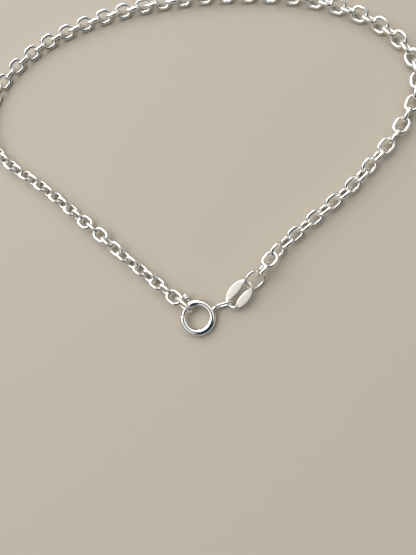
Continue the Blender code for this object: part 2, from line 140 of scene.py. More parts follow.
# The trigger's outline: place along its stem from the head's base, and out from its axis
TRIGGER_OUTLINE = [  # share of the head's height, share of the head's radius
    (-0.06, 0.4), (0.0, 0.72), (0.04, 0.92), (0.12, 1.0), (0.26, 1.0), (0.33, 0.9),
    (0.4, 0.88), (0.47, 0.9), (0.54, 1.0), (0.86, 1.0), (0.95, 0.95), (1.0, 0.84),
    (0.985, 0.72), (0.93, 0.6), (0.9, 0.35), (0.89, 0.12),
]


def length(name, description, millimetres):
    return FloatProperty(name=name, description=description, default=millimetres * MM,
                         unit="LENGTH", precision=5)


def angle(name, description, degrees):
    return FloatProperty(name=name, description=description, default=math.radians(degrees),
                         subtype="ANGLE", unit="ROTATION")


def share(name, description, default):
    return FloatProperty(name=name, description=description, default=default, min=0.0, max=1.0,
                         subtype="FACTOR")


def colour(name, description, default):
    return FloatVectorProperty(name=name, description=description, default=default, size=3,
                               min=0.0, max=1.0, subtype="COLOR")


class AnkletChain(PropertyGroup):
    """Sizes of the chain's links and of the longer catch link."""

    link_length: length("Link length", "Outside length of a chain link", 3.6)
    link_width: length("Link width", "Outside width of a chain link", 2.9)
    link_wire: length("Link wire", "Thickness of the chain's wire", 0.7)
    link_steps: IntProperty(name="Link steps", description="Steps round a link", default=28)
    wire_sides: IntProperty(name="Wire sides", description="Sides of a link's wire", default=12)
    seam_height: length("Seam height", "How far a solder seam stands proud of its wire", 0.014)
    solder_bite: length("Solder bite", "How far the solid links sink into each other", 0.06)
    running_gap: length("Running gap", "Gap left at the back, where the halves meet", 0.2)
    first_slack: length("First link slack", "Gap from the first link to the catch link", 0.35)
    catch_length: length("Catch link length", "Outside length of the catch link", 4.45)
    catch_width: length("Catch link width", "Outside width of the catch link", 2.9)
    catch_wire: length("Catch link wire", "Thickness of the catch link's wire", 0.65)
    catch_heading: angle("Catch link heading", "Way the catch link points from the clasp", 140.0)
    catch_roll: angle("Catch link roll", "How far the catch link is rolled up from flat", 115.0)


class AnkletClasp(PropertyGroup):
    """Sizes of the spring ring, its bolt and trigger, and the loop soldered to it."""

    diameter: length("Clasp diameter", "Outside diameter of the spring ring", 7.0)
    tube: length("Clasp tube", "Outside diameter of the ring's tube", 1.45)
    bore: length("Clasp bore", "Inside diameter of the ring's tube", 0.95)
    mouth_start: angle("Mouth start", "Where the tube ends beside the trigger", 125.0)
    mouth_end: angle("Mouth end", "Where the tube starts again past the mouth", 177.0)
    rim_round: length("Rim round", "Rounding of the tube's ends", 0.07)
    bolt_wire: length("Bolt wire", "Thickness of the sprung bolt", 0.66)
    bolt_tuck: angle("Bolt tuck", "How far the bolt's nose enters the tube", 8.0)
    bolt_tail: angle("Bolt tail", "How far the bolt runs back from its trigger", 45.0)
    trigger_place: angle("Trigger place", "Where the trigger stands on the ring", 119.0)
    trigger_travel: angle("Trigger travel", "How far the trigger slides", 60.0)
    trigger_stem: length("Trigger stem", "Thickness of the trigger's stem", 0.45)
    trigger_head: length("Trigger head", "Diameter of the trigger's head", 1.25)
    trigger_height: length("Trigger height", "Height of the trigger's head", 1.05)
    trigger_reach: length("Trigger reach", "Distance of the head's top from the ring's centre", 5.0)
    slot_gap: length("Slot gap", "Gap on each side of the stem in its slot", 0.1)
    loop_length: length("Loop length", "Outside length of the soldered loop", 3.8)
    loop_width: length("Loop width", "Outside width of the soldered loop", 2.5)
    loop_wire: length("Loop wire", "Thickness of the loop's wire", 0.5)
    loop_gap: length("Loop gap", "Gap between the tube and the loop, which solder fills", 0.22)
    loop_place: angle("Loop place", "Where the loop stands on the ring", 28.0)
    loop_heading: angle("Loop heading", "Way the loop points from the clasp", 16.0)
    loop_roll: angle("Loop roll", "How far the loop is rolled up from flat", 81.0)


class AnkletFittings(PropertyGroup):
    """Sizes of the end tag and the jump ring."""

    tag_length: length("Tag length", "Length of the end tag", 6.25)
    tag_width: length("Tag width", "Width over both leaves of the tag", 4.25)
    tag_slit: length("Tag slit", "Width of the slit between the leaves", 0.75)
    tag_wire: length("Tag wire", "Thickness of the tag's wire at its ends", 0.66)
    leaf_thickness: length("Leaf thickness", "Thickness of the pressed leaves", 0.36)
    tag_heading: angle("Tag heading", "Way the tag points", 47.0)
    tag_slope: angle("Tag slope", "How much the tag rises from the clasp's side", 10.0)
    jump_diameter: length("Jump ring diameter", "Outside diameter of the jump ring", 4.5)
    jump_wire: length("Jump ring wire", "Thickness of the jump ring's wire", 0.55)
    jump_heading: angle("Jump ring heading", "Way the jump ring's level line points", 40.0)
    jump_lean: angle("Jump ring lean", "How far the jump ring leans up on the tag", 53.0)
    jump_hook: angle("Jump ring hook", "Where the chain's last link hooks on the ring", 20.0)
    hook_heading: angle("Hook heading", "Way the last link leaves the ring", 52.0)
    hook_slack: length("Hook slack", "Slack of the last link on the ring", 0.42)


class AnkletFinish(PropertyGroup):
    """Colours and wear of the silver."""

    silver: colour("Silver", "Colour of the polished silver", (0.93, 0.918, 0.888))
    satin: colour("Satin silver", "Colour of the pressed leaves", (0.68, 0.655, 0.6))
    tarnish: colour("Tarnish", "Colour that gathers where pieces rub and in corners",
                    (0.42, 0.39, 0.34))
    tarnish_amount: share("Tarnish amount", "How strongly the tarnish shows", 0.35)
    polish: share("Polish roughness", "Roughness of the polished silver", 0.15)
    frost: share("Frost roughness", "Roughness of the satin leaves", 0.42)
    scratch_size: length("Scratch size", "Spacing of the fine polishing scratches", 0.06)
    scratch_depth: length("Scratch depth", "Depth of the fine polishing scratches", 0.0012)


class AnkletStage(PropertyGroup):
    """Floor, light and camera."""

    floor: colour("Floor", "Colour of the pale floor", (0.56, 0.5, 0.42))
    sky: colour("Sky", "Colour of the soft light all round", (1.0, 0.985, 0.945))
    sky_strength: FloatProperty(name="Sky strength", description="Strength of the soft light",
                                default=0.95, min=0.0)
    shade: colour("Shade", "Colour of the dark areas above the anklet", (0.02, 0.045, 0.07))
    horizon: colour("Horizon", "Colour of the band low all round", (0.05, 0.05, 0.045))
    key_power: FloatProperty(name="Key light", description="Power of the soft key light",
                             default=3.8, min=0.0, unit="POWER")


def heading(direction):
    return Vector((math.cos(direction), math.sin(direction), 0.0))


def middle_of(node):
    low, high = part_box(node)
    return (low + high) / 2


def clasp_frame():
    """The clasp's centre and tilt, from the axis that its bolt turns about."""
    normal = -Vector(CLASP_JOINT["axis"])
    tilt = UP.rotation_difference(normal).to_matrix().to_4x4()
    return Matrix.Translation(CLASP_JOINT["pos_m"]) @ tilt


def place_link(centre, forward, roll):
    """Matrix that lays a link's long axis along forward, its width rolled from level."""
    forward = forward.normalized()
    level = UP.cross(forward).normalized()
    above = forward.cross(level)
    side = level * math.cos(roll) + above * math.sin(roll)
    turn = Matrix((forward, side, forward.cross(side))).transposed()
    return Matrix.Translation(centre) @ turn.to_4x4()


def finish_piece(name, bm, material, body, node, sharp=40.0):
    """Make the piece's object, and let it ride on its body in place of its CAD node."""
    mesh = bpy.data.meshes.new(name)
    bm.to_mesh(mesh)
    bm.free()
    mesh.shade_smooth()
    mesh.set_sharp_from_angle(angle=math.radians(sharp))
    mesh.materials.append(material)
    piece = bpy.data.objects.new(name, mesh)
    bpy.context.scene.collection.objects.link(piece)
    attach(piece, body)
    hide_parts(node)
    return piece


def stand_circle(bm, radius, sides, place):
    """Circle of wire square to the ring that will be spun about Z, at an angle on it."""
    circle = bmesh.ops.create_circle(bm, segments=sides, radius=radius)["verts"]
    bmesh.ops.transform(bm, matrix=place @ Matrix.Rotation(math.pi / 2, 4, "X"), verts=circle)
    return circle


def spin(bm, sweep, steps, full=False):
    """Turn what the bmesh holds about Z, and point its faces outwards."""
    bmesh.ops.spin(bm, geom=bm.verts[:] + bm.edges[:] + bm.faces[:], axis=UP,
                   cent=(0.0, 0.0, 0.0), angle=sweep, steps=steps, use_merge=full,
                   use_duplicate=False)
    bmesh.ops.remove_doubles(bm, verts=bm.verts[:], dist=MERGE_DISTANCE)
    bmesh.ops.recalc_face_normals(bm, faces=bm.faces[:])


def oval_of_wire(outside_length, outside_width, wire, steps, sides, seam):
    """Oval of round wire in the XY plane, long along X, with a solder seam on its +Y side."""
    bend = (outside_width - wire) / 2
    draw = (outside_length - outside_width) / 2
    bm = bmesh.new()
    half_step = math.pi / steps
    start = Matrix.Rotation(math.pi / 2 + half_step, 4, "Z") @ Matrix.Translation((bend, 0, 0))
    stand_circle(bm, wire / 2, sides, start)
    spin(bm, math.tau, steps, full=True)
    for side in (1, -1):
        half = [vertex for vertex in bm.verts if vertex.co.x * side > 0]
        bmesh.ops.translate(bm, verts=half, vec=(side * draw, 0.0, 0.0))
    add_seam(bm, bend, wire, seam)
    return bm


def add_seam(bm, bend, wire, seam):
    """Raise a low bead of solder round the middle of the +Y side."""
    crossing = [edge for edge in bm.edges
                if edge.verts[0].co.x * edge.verts[1].co.x < 0 and edge.verts[0].co.y > 0]
    bmesh.ops.subdivide_edges(bm, edges=crossing, cuts=5)
    swell = 1 + 2 * seam / wire
    centre = Matrix.Translation((0.0, -bend, 0.0))
    bead = [vertex for vertex in bm.verts
            if abs(vertex.co.x) < wire / 4 and vertex.co.y > 0]
    bmesh.ops.scale(bm, verts=bead, vec=(1.0, swell, swell), space=centre)


def end_edges(bm, sides):
    """Edges round the flat ends of a wire with this many sides."""
    return [edge for edge in bm.edges if any(len(face.verts) == sides for face in edge.link_faces)]


def round_wire_ring(diameter, wire, steps, sides, seam_gap):
    """Round ring of wire in the XY plane whose two ends meet in a fine butt joint at +X."""
    bend = (diameter - wire) / 2
    bm = bmesh.new()
    half_gap = seam_gap / 2 / bend
    start = Matrix.Rotation(half_gap, 4, "Z") @ Matrix.Translation((bend, 0.0, 0.0))
    circle = stand_circle(bm, wire / 2, sides, start)
    bmesh.ops.contextual_create(bm, geom=circle)
    spin(bm, math.tau - 2 * half_gap, steps)
    ends = end_edges(bm, sides)
    end_round = 0.03 * MM
    bmesh.ops.bevel(bm, geom=ends, offset=end_round, segments=2, profile=0.5,
                    affect="EDGES", material=-1)
    return bm


def smooth_route(first, last, steps=24):
    """Points along a Catmull-Rom curve from the first place, by the route's own, to the last."""
    clasp = Vector(CLASP_JOINT["pos_m"])
    route = [Vector((clasp.x + x * MM, clasp.y + y * MM, 0.0)) for x, y in CHAIN_ROUTE]
    places = [first, *route, last]
    places.insert(0, 2 * places[0] - places[1])
    places.append(2 * places[-1] - places[-2])
    curve = []
    for before, start, end, after in zip(places, places[1:], places[2:], places[3:]):
        for step in range(steps):
            t = step / steps
            curve.append(
                0.5 * (2 * start + (end - before) * t
                       + (2 * before - 5 * start + 4 * end - after) * t ** 2
                       + (3 * start - before - 3 * end + after) * t ** 3)
            )
    curve.append(places[-2])
    return curve


def walk(curve, distances):
    """Places at these distances along the curve, which grow from one to the next."""
    places = []
    index = 0
    passed = 0.0
    for distance in distances:
        while index < len(curve) - 2:
            reached = passed + (curve[index + 1] - curve[index]).length
            if reached >= distance:
                break
            passed = reached
            index += 1
        step = curve[index + 1] - curve[index]
        places.append(curve[index] + step.normalized() * (distance - passed))
    return places


def read_rolls(table, number):
    """Roll and lift at a link's number, straight between the table's rows."""
    for (low, low_roll, low_lift), (high, high_roll, high_lift) in zip(table, table[1:]):
        if number <= high:
            part = (number - low) / (high - low)
            roll = low_roll + part * (high_roll - low_roll)
            return math.radians(roll), (low_lift + part * (high_lift - low_lift)) * MM
    return math.radians(table[-1][1]), table[-1][2] * MM


def chain_ends(chain, fittings):
    """Middles of the chain's first link, on the catch link, and its last, on the jump ring."""
    out = heading(chain.catch_heading)
    catch_inside = chain.catch_length / 2 - chain.catch_wire
    first_reach = catch_inside - chain.first_slack - chain.link_wire + chain.link_length / 2
    first = middle_of("catch_link") + out * first_reach
    bend = (fittings.jump_diameter - fittings.jump_wire) / 2
    forward = heading(fittings.jump_heading)
    left = UP.cross(forward) * math.cos(fittings.jump_lean)
    hook = forward * math.cos(fittings.jump_hook) + left * math.sin(fittings.jump_hook)
    last = middle_of("jump_ring") + bend * hook
    last += heading(fittings.hook_heading) * fittings.hook_slack
    first.z = 0.0
    last.z = 0.0
    return first, last


def link_rest_height(chain, roll):
    """Height of a link's middle when it lies at this roll with its wire on the floor."""
    bend = (chain.link_width - chain.link_wire) / 2
    return bend * abs(math.sin(roll)) + chain.link_wire / 2


def link_frames(chain, fittings):
    """Matrix of every link from the catch link's end to the jump ring's, and the middle one."""
    first, last = chain_ends(chain, fittings)
    curve = smooth_route(first, last)
    route_length = sum((b - a).length for a, b in zip(curve, curve[1:]))
    pitch = chain.link_length - 2 * chain.link_wire
    count = 2 * round((route_length / pitch + 1) / 2)
    step = route_length / (count - 1)
    middle = count // 2
    slack = chain.solder_bite + 1.5 * chain.running_gap
    distances = [step * i if i < middle else step * i - slack * (count - 1 - i) / (count - middle)
                 for i in range(count)]
    places = walk(curve, distances)
    rolls = []
    quarter = math.pi / 2
    for i, place in enumerate(places):
        if i < middle:
            roll, lift = read_rolls(LEFT_ROLLS, i)
        else:
            roll, lift = read_rolls(RIGHT_ROLLS, count - 1 - i)
        place.z = lift + max(link_rest_height(chain, roll), link_rest_height(chain, roll - quarter))
        rolls.append(roll if i % 2 else roll - quarter)
    frames = []
    for i, place in enumerate(places):
        before = places[max(i - 1, 0)]
        after = places[min(i + 1, count - 1)]
        frames.append(place_link(place, after - before, rolls[i]))
    return frames, middle


def run_of_links(link, frames):
    """All links of one half of the chain in one bmesh, their seams on alternate sides."""
    bm = bmesh.new()
    for number, place in enumerate(frames):
        start = len(bm.verts)
        bm.from_mesh(link)
        bm.verts.ensure_lookup_table()
        other_side = Matrix.Rotation(math.pi * (number // 2 % 2), 4, "Z")
        bmesh.ops.transform(bm, matrix=place @ other_side, verts=bm.verts[start:])
    return bm


class ANKLET_OT_chain(Operator):
    """Make both halves of the cable chain, link by link along its route"""

    bl_idname = "anklet.chain"
    bl_label = "Chain"

    def execute(self, context):
        chain = context.scene.anklet_chain
        silver = tumbled_silver(context.scene.anklet_finish)
        link_bm = oval_of_wire(chain.link_length, chain.link_width, chain.link_wire,
                               chain.link_steps, chain.wire_sides, chain.seam_height)
        link = bpy.data.meshes.new("link")
        link_bm.to_mesh(link)
        link_bm.free()
        frames, middle = link_frames(chain, context.scene.anklet_fittings)
        halves = {"chain_left": frames[:middle], "chain_right": frames[middle:]}
        for node, places in halves.items():
            finish_piece(node + "_links", run_of_links(link, places), silver, "anklet", node)
        bpy.data.meshes.remove(link)
        return {"FINISHED"}


class ANKLET_OT_catch_link(Operator):
    """Make the longer end link that the clasp closes on"""

    bl_idname = "anklet.catch_link"
    bl_label = "Catch link"

    def execute(self, context):
        chain = context.scene.anklet_chain
        bm = oval_of_wire(chain.catch_length, chain.catch_width, chain.catch_wire,
                          CATCH_STEPS, CATCH_SIDES, chain.seam_height)
        place = place_link(middle_of("catch_link"), heading(chain.catch_heading),
                           chain.catch_roll)
        bmesh.ops.transform(bm, matrix=place, verts=bm.verts)
        silver = tumbled_silver(context.scene.anklet_finish)
        finish_piece("catch_link_wire", bm, silver, "anklet", "catch_link")
        return {"FINISHED"}


def solid_from(bm, name):
    """Helper object for a Boolean, from a bmesh; carve removes it."""
    mesh = bpy.data.meshes.new(name)
    bm.to_mesh(mesh)
    bm.free()
    helper = bpy.data.objects.new(name, mesh)
    bpy.context.scene.collection.objects.link(helper)
    return helper


def carve(base, others):
    """Cut or unite the helpers with the base one after another, and return the result."""
    for operation, other in others:
        modifier = base.modifiers.new(operation.lower(), "BOOLEAN")
        modifier.operation = operation
        modifier.object = other
    graph = bpy.context.evaluated_depsgraph_get()
    mesh = bpy.data.meshes.new_from_object(base.evaluated_get(graph), depsgraph=graph)
    for helper in [base] + [other for operation, other in others]:
        bpy.data.objects.remove(helper)
    bm = bmesh.new()
    bm.from_mesh(mesh)
    bpy.data.meshes.remove(mesh)
    bmesh.ops.remove_doubles(bm, verts=bm.verts[:], dist=MERGE_DISTANCE)
    return bm


def clasp_tube(clasp):
    """Hollow tube bent round from the mouth's end to its start, with rounded rims."""
    bend = (clasp.diameter - clasp.tube) / 2
    bm = bmesh.new()
    place = Matrix.Rotation(clasp.mouth_end, 4, "Z") @ Matrix.Translation((bend, 0.0, 0.0))
    outer = stand_circle(bm, clasp.tube / 2, TUBE_SIDES, place)
    outer_edges = list({edge for vertex in outer for edge in vertex.link_edges})
    inner = stand_circle(bm, clasp.bore / 2, TUBE_SIDES, place)
    inner_edges = list({edge for vertex in inner for edge in vertex.link_edges})
    bmesh.ops.bridge_loops(bm, edges=outer_edges + inner_edges)
    spin(bm, math.tau - (clasp.mouth_end - clasp.mouth_start), TUBE_STEPS)
    corner = math.radians(70.0)
    rims = [edge for edge in bm.edges if edge.calc_face_angle(0.0) > corner
            and is_rim(edge, bend, clasp)]
    bmesh.ops.bevel(bm, geom=rims, offset=clasp.rim_round, segments=3, profile=0.5,
                    affect="EDGES", material=-1)
    bmesh.ops.transform(bm, matrix=clasp_frame(), verts=bm.verts)
    return bm


def is_rim(edge, bend, clasp):
    """Whether an edge runs round the outside of one of the tube's two ends."""
    for vertex in edge.verts:
        from_wire = math.hypot(math.hypot(vertex.co.x, vertex.co.y) - bend, vertex.co.z)
        if from_wire < (clasp.tube + clasp.bore) / 4:
            return False
    return True


def clasp_slot(clasp):
    """Cutter for the slot that the trigger's stem slides in, open at the mouth."""
    bend = (clasp.diameter - clasp.tube) / 2
    half_slot = clasp.trigger_stem / 2 + clasp.slot_gap
    bm = bmesh.new()
    bmesh.ops.create_grid(bm, x_segments=1, y_segments=1, size=0.5)
    shape = Matrix.Diagonal((clasp.tube, 2 * half_slot, 1.0, 1.0))
    stand = Matrix.Translation((bend + clasp.tube / 2, 0.0, 0.0)) @ Matrix.Rotation(
        math.pi / 2, 4, "X") @ shape
    past_mouth = math.radians(4.0)
    start = clasp.trigger_place - clasp.trigger_travel - half_slot / bend
    bmesh.ops.transform(bm, matrix=Matrix.Rotation(start, 4, "Z") @ stand, verts=bm.verts)
    spin(bm, clasp.mouth_start + past_mouth - start, SLOT_STEPS)
    bmesh.ops.transform(bm, matrix=clasp_frame(), verts=bm.verts)
    return bm


def clasp_loop(clasp, seam):
    """Oval loop on edge on the floor, its near wire just outside the tube."""
    bm = oval_of_wire(clasp.loop_length, clasp.loop_width, clasp.loop_wire, LOOP_STEPS,
                      LOOP_SIDES, seam)
    reach = clasp.diameter / 2 + clasp.loop_gap + clasp.loop_wire / 2
    centre = Vector(CLASP_JOINT["pos_m"]) + heading(clasp.loop_place) * reach
    centre += heading(clasp.loop_heading) * (clasp.loop_length - clasp.loop_wire) / 2
    half_width = (clasp.loop_width - clasp.loop_wire) / 2
    centre.z = half_width * math.sin(clasp.loop_roll) + clasp.loop_wire / 2
    place = place_link(centre, heading(clasp.loop_heading), clasp.loop_roll)
    bmesh.ops.transform(bm, matrix=place, verts=bm.verts)
    return bm


def loop_solder(clasp):
    """Rounded lump of solder between the tube and the loop."""
    bm = bmesh.new()
    bmesh.ops.create_uvsphere(bm, u_segments=32, v_segments=20, radius=1.0)
    lump = Matrix.Diagonal((*(half_size * MM for half_size in SOLDER_LUMP), 1.0))
    reach = clasp.diameter / 2 + clasp.loop_gap
    rise = clasp.tube / 8
    place = Matrix.Rotation(clasp.loop_place, 4, "Z") @ Matrix.Translation((reach, 0.0, rise))
    bmesh.ops.transform(bm, matrix=clasp_frame() @ place @ lump, verts=bm.verts)
    return bm


class ANKLET_OT_clasp_ring(Operator):
    """Make the hollow spring ring with its slot and the loop soldered to it"""

    bl_idname = "anklet.clasp_ring"
    bl_label = "Clasp ring"

    def execute(self, context):
        clasp = context.scene.anklet_clasp
        seam = context.scene.anklet_chain.seam_height
        tube = solid_from(clasp_tube(clasp), "clasp_tube")
        slot = solid_from(clasp_slot(clasp), "clasp_slot")
        loop = solid_from(clasp_loop(clasp, seam), "clasp_loop")
        solder = solid_from(loop_solder(clasp), "loop_solder")
        bm = carve(tube, [("DIFFERENCE", slot), ("UNION", solder), ("UNION", loop)])
        silver = mirror_silver(context.scene.anklet_finish)
        finish_piece("clasp_ring_tube", bm, silver, "anklet", "clasp_ring")
        return {"FINISHED"}


def bolt_wire(clasp):
    """Curved wire with a rounded nose and tail."""
    bend = (clasp.diameter - clasp.tube) / 2
    start = clasp.trigger_place - clasp.bolt_tail
    bm = bmesh.new()
    place = Matrix.Rotation(start, 4, "Z") @ Matrix.Translation((bend, 0.0, 0.0))
    circle = stand_circle(bm, clasp.bolt_wire / 2, BOLT_SIDES, place)
    bmesh.ops.contextual_create(bm, geom=circle)
    spin(bm, clasp.mouth_end + clasp.bolt_tuck - start, BOLT_STEPS)
    ends = end_edges(bm, BOLT_SIDES)
    bmesh.ops.bevel(bm, geom=ends, offset=clasp.bolt_wire / 6, segments=3, profile=0.5,
                    affect="EDGES", material=-1)
    return bm


def trigger(clasp):
    """Thumb trigger turned about its stem: a collar, a waist and a dished button."""
    base = clasp.trigger_reach - clasp.trigger_height
    bend = (clasp.diameter - clasp.tube) / 2
    outline = [(0.0, bend), (clasp.trigger_stem / 2, bend)]
    outline += [(out * clasp.trigger_head / 2, base + along * clasp.trigger_height)
                for along, out in TRIGGER_OUTLINE]
    outline.append((0.0, outline[-1][1]))
    bm = bmesh.new()
    points = [bm.verts.new((out, 0.0, along)) for out, along in outline]
    for lower, upper in zip(points, points[1:]):
        bm.edges.new((lower, upper))
    spin(bm, math.tau, TRIGGER_STEPS, full=True)
    radial = Matrix.Rotation(clasp.trigger_place, 4, "Z") @ Matrix.Rotation(math.pi / 2, 4, "Y")
    bmesh.ops.transform(bm, matrix=radial, verts=bm.verts)
    return bm


class ANKLET_OT_clasp_bolt(Operator):
    """Make the sprung bolt that closes the mouth, with its thumb trigger"""

    bl_idname = "anklet.clasp_bolt"
    bl_label = "Clasp bolt"

    def execute(self, context):
        clasp = context.scene.anklet_clasp
        wire = solid_from(bolt_wire(clasp), "bolt_wire")
        thumb = solid_from(trigger(clasp), "trigger")
        bm = carve(wire, [("UNION", thumb)])
        bmesh.ops.transform(bm, matrix=clasp_frame(), verts=bm.verts)
        silver = mirror_silver(context.scene.anklet_finish)
        finish_piece("clasp_bolt_wire", bm, silver, "bolt", "clasp_bolt")
        return {"FINISHED"}


def blend_rows(place):
    """The tag's section at a place in rows, on a smooth curve through the table's rows."""
    last = len(TAG_SECTIONS) - 1
    row = min(int(place), last - 1)
    t = place - row
    values = []
    for column in range(len(TAG_SECTIONS[0])):
        start = TAG_SECTIONS[row][column]
        end = TAG_SECTIONS[row + 1][column]
        before = TAG_SECTIONS[row - 1][column] if row else mirrored(0, column)
        after = TAG_SECTIONS[row + 2][column] if row + 2 <= last else mirrored(last, column)
        values.append(0.5 * (2 * start + (end - before) * t
                             + (2 * before - 5 * start + 4 * end - after) * t ** 2
                             + (3 * start - before - 3 * end + after) * t ** 3))
    return values


def mirrored(row, column):
    """The table's value one row past its first or last, as the other quarter has it."""
    inner = TAG_SECTIONS[1 if row == 0 else row - 1][column]
    turns_over = (row == 0 and column in (1, 2)) or (row and column in (0, 2))
    if not turns_over:
        return inner
    return 2 * TAG_SECTIONS[row][column] - inner


def tag_section(fittings, place):
    """Middle, outward direction, half-width, half-thickness and thinness of the tag's wire."""
    quarter = len(TAG_SECTIONS) - 1
    turn, rest = divmod(place, quarter)
    along, across, out_angle, wide, thin = blend_rows(rest if turn % 2 == 0 else quarter - rest)
    wide = min(max(wide, 0.0), 1.0)
    thin = min(max(thin, 0.0), 1.0)
    leaf = (fittings.tag_width - fittings.tag_slit) / 4
    end_sign = 1 if turn in (0, 3) else -1
    side_sign = 1 if turn in (0, 1) else -1
    half_wire = fittings.tag_wire / 2
    middle = Vector((end_sign * along * (fittings.tag_length / 2 - half_wire),
                     side_sign * across * (fittings.tag_width + fittings.tag_slit) / 4, 0.0))
    out = heading(math.radians(out_angle))
    out = Vector((end_sign * out.x, side_sign * out.y, 0.0))
    half_width = half_wire + wide * (leaf - half_wire)
    half_thickness = half_wire + thin * (fittings.leaf_thickness / 2 - half_wire)
    return middle, out, half_width, half_thickness, thin


def press_tag(bm, fittings):
    """Move a spun ring's sections out to the tag's oval, and press them wide and thin."""
    quarter = len(TAG_SECTIONS) - 1
    frosted = bm.verts.layers.float.new("frosted")
    for vertex in bm.verts:
        x, y, z = vertex.co
        step = round(math.atan2(y, x) / math.tau * TAG_STEPS) % TAG_STEPS
        middle, out, half_width, half_thickness, thin = tag_section(
            fittings, step * 4 * quarter / TAG_STEPS)
        turn = math.atan2(z, math.hypot(x, y) - 1.0)
        flat = 1 / (1 + LEAF_FLATTENING * thin)
        across = math.copysign(abs(math.cos(turn)) ** flat, math.cos(turn))
        above = math.copysign(abs(math.sin(turn)) ** flat, math.sin(turn))
        vertex.co = middle + out * across * half_width + UP * above * half_thickness
        inside = (FROST_EDGE - abs(across)) / FROST_FADE
        vertex[frosted] = thin * min(max(inside, 0.0), 1.0)


class ANKLET_OT_end_tag(Operator):
    """Make the end tag: an oval of wire whose long sides are pressed into leaves"""

    bl_idname = "anklet.end_tag"
    bl_label = "End tag"

    def execute(self, context):
        fittings = context.scene.anklet_fittings
        bm = bmesh.new()
        stand_circle(bm, PLAIN_RING_WIRE, TAG_SIDES, Matrix.Translation((1.0, 0.0, 0.0)))
        spin(bm, math.tau, TAG_STEPS, full=True)
        press_tag(bm, fittings)
        place = Matrix.Translation(middle_of("end_tag")) @ Matrix.Rotation(
            fittings.tag_heading, 4, "Z") @ Matrix.Rotation(-fittings.tag_slope, 4, "Y")
        bmesh.ops.transform(bm, matrix=place, verts=bm.verts)
        bmesh.ops.recalc_face_normals(bm, faces=bm.faces[:])
        satin = frosted_silver(context.scene.anklet_finish)
        finish_piece("end_tag_leaves", bm, satin, "anklet", "end_tag")
        return {"FINISHED"}


class ANKLET_OT_jump_ring(Operator):
    """Make the round jump ring between the tag and the chain"""

    bl_idname = "anklet.jump_ring"
    bl_label = "Jump ring"

    def execute(self, context):
        fittings = context.scene.anklet_fittings
        butt_gap = 0.025 * MM
        butt_angle = math.radians(-62.0)
        bm = round_wire_ring(fittings.jump_diameter, fittings.jump_wire, JUMP_STEPS,
                             JUMP_SIDES, butt_gap)
        butt_place = Matrix.Rotation(butt_angle, 4, "Z")
        place = place_link(middle_of("jump_ring"), heading(fittings.jump_heading),
                           fittings.jump_lean)
        bmesh.ops.transform(bm, matrix=place @ butt_place, verts=bm.verts)
        silver = tumbled_silver(context.scene.anklet_finish)
        finish_piece("jump_ring_wire", bm, silver, "anklet", "jump_ring")
        return {"FINISHED"}


def new_group(name, inputs, outputs):
    """Empty shader node group with float, colour or vector sockets, and its end nodes."""
    group = bpy.data.node_groups.new(name, "ShaderNodeTree")
    for label, kind, default in inputs:
        socket = group.interface.new_socket(label, in_out="INPUT", socket_type=kind)
        if default is not None:
            socket.default_value = default
    for label, kind in outputs:
        group.interface.new_socket(label, in_out="OUTPUT", socket_type=kind)
    return group, group.nodes.new("NodeGroupInput"), group.nodes.new("NodeGroupOutput")


def scratch_group():
    """Fine polishing scratches that run three ways, as a height and a mask."""
    name = "fine_scratches"
    if name in bpy.data.node_groups:
        return bpy.data.node_groups[name]
    group, given, made = new_group(
        name,
        [("Vector", "NodeSocketVector", None), ("Scale", "NodeSocketFloat", 10000.0)],
        [("Height", "NodeSocketFloat"), ("Mask", "NodeSocketFloat")],
    )
    nodes, links = group.nodes, group.links
    layers = []
    for turn in ((0.3, 0.9, 0.2), (1.9, 0.4, 1.1), (0.8, 2.3, 2.6)):
        mapping = nodes.new("ShaderNodeMapping")
        mapping.inputs["Rotation"].default_value = turn
        mapping.inputs["Scale"].default_value = (1.0, 0.06, 1.0)
        noise = nodes.new("ShaderNodeTexNoise")
        noise.inputs["Detail"].default_value = 2.0
        noise.inputs["Roughness"].default_value = 0.5
        links.new(given.outputs["Vector"], mapping.inputs["Vector"])
        links.new(mapping.outputs["Vector"], noise.inputs["Vector"])
        links.new(given.outputs["Scale"], noise.inputs["Scale"])
        layers.append(noise.outputs["Fac"])
    total = layers[0]
    for layer in layers[1:]:
        keep_deepest = nodes.new("ShaderNodeMath")
        keep_deepest.operation = "MINIMUM"
        links.new(total, keep_deepest.inputs[0])
        links.new(layer, keep_deepest.inputs[1])
        total = keep_deepest.outputs[0]
    groove = nodes.new("ShaderNodeMapRange")
    groove.interpolation_type = "SMOOTHSTEP"
    groove.inputs["From Min"].default_value = 0.24
    groove.inputs["From Max"].default_value = 0.4
    links.new(total, groove.inputs["Value"])
    links.new(groove.outputs["Result"], made.inputs["Height"])
    inverse = nodes.new("ShaderNodeMath")
    inverse.operation = "SUBTRACT"
    inverse.inputs[0].default_value = 1.0
    links.new(groove.outputs["Result"], inverse.inputs[1])
    links.new(inverse.outputs[0], made.inputs["Mask"])
    return group


